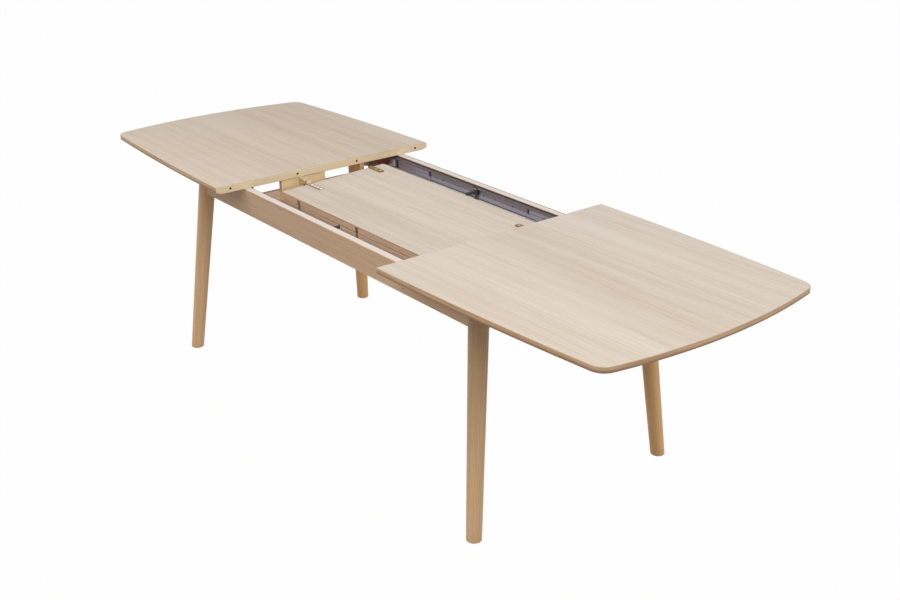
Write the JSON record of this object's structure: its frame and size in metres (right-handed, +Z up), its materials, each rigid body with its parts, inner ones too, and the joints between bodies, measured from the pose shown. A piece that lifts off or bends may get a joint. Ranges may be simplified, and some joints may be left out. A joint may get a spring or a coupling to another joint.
{
  "type": "butterfly leaf extending table",
  "caption": "Boat-shaped extending dining table: split top on steel slides, folding leaf stored in the well, splayed round legs",
  "frame": {"origin": "on the floor, under the middle of the table", "axes": "+X along the table, +Y from the front side rail to the back side rail, +Z up"},
  "size_m": [2.716, 0.9, 0.745],
  "materials": {
    "oak_top": "satin oiled oak veneer",
    "oak_solid": "satin oiled solid oak",
    "pine_inner": "plain planed softwood",
    "plywood": "plain plywood",
    "dark_steel": "dark passivated sheet steel",
    "bright_steel": "zinc-plated steel",
    "brass": "plain brass",
    "black_plastic": "moulded black plastic",
    "pale_plastic": "low-friction pale plastic"
  },
  "bodies": {
    "frame": {"leg_front_left": "oak_solid", "leg_front_right": "oak_solid", "leg_back_left": "oak_solid", "leg_back_right": "oak_solid", "side_rail_front": "oak_top", "side_rail_back": "oak_top", "end_rail_left": "oak_top", "end_rail_right": "oak_top", "corner_blocks": "pine_inner", "corner_bolts": "bright_steel", "foot_pads": "black_plastic", "rail_glides": "pale_plastic", "fixed_slides_front": "dark_steel", "fixed_slides_back": "dark_steel", "slide_screws": "bright_steel", "centre_stops": "black_plastic", "cross_member_left": "pine_inner", "cross_member_right": "pine_inner", "pivot_board_left": "plywood", "pivot_board_right": "plywood", "pivot_pins": "brass", "rest_posts": "pine_inner", "rest_pegs": "bright_steel"},
    "left_top": {"top_panel_left": "oak_top", "top_runners_left": "pine_inner", "inner_slides_left": "dark_steel"},
    "right_top": {"top_panel_right": "oak_top", "top_runners_right": "pine_inner", "inner_slides_right": "dark_steel", "top_dowels": "pine_inner"},
    "left_middle": {"middle_slides_left": "dark_steel"},
    "right_middle": {"middle_slides_right": "dark_steel"},
    "leaf_front": {"leaf_front_panel": "oak_top", "leaf_front_dowels": "pine_inner", "leaf_front_hinge_plates": "brass", "leaf_pivot_straps": "bright_steel", "leaf_rest_straps": "brass", "leaf_strap_screws": "bright_steel"},
    "leaf_links": {"leaf_hinge_links": "brass"},
    "leaf_back": {"leaf_back_panel": "oak_top", "leaf_back_dowels": "pine_inner", "leaf_back_hinge_plates": "brass"}
  },
  "joints": [
    {"name": "left_top_slide", "type": "slide", "parent": "frame", "child": "left_top", "axis": [-1, 0, 0], "range_m": [-0.463, 0]},
    {"name": "right_top_slide", "type": "slide", "parent": "frame", "child": "right_top", "axis": [1, 0, 0], "range_m": [-0.463, 0]},
    {"name": "left_middle_slide", "type": "slide", "parent": "frame", "child": "left_middle", "axis": [-1, 0, 0], "range_m": [-0.2315, 0]},
    {"name": "right_middle_slide", "type": "slide", "parent": "frame", "child": "right_middle", "axis": [1, 0, 0], "range_m": [-0.2315, 0]},
    {"name": "leaf_flip", "type": "hinge", "parent": "frame", "child": "leaf_front", "pos_m": [0, -0.112, 0.712], "axis": [1, 0, 0], "range_deg": [0, 177.5]},
    {"name": "leaf_link_turn", "type": "hinge", "parent": "leaf_front", "child": "leaf_links", "pos_m": [0, -0.21688, 0.67939], "axis": [-1, 0, 0], "range_deg": [0, 90]},
    {"name": "leaf_unfold", "type": "hinge", "parent": "leaf_links", "child": "leaf_back", "pos_m": [0, -0.21637, 0.66781], "axis": [-1, 0, 0], "range_deg": [0, 90]}
  ],
  "couplings": [
    {"joint": "left_middle_slide", "follows": "left_top_slide", "ratio": 0.5},
    {"joint": "right_middle_slide", "follows": "right_top_slide", "ratio": 0.5}
  ]
}
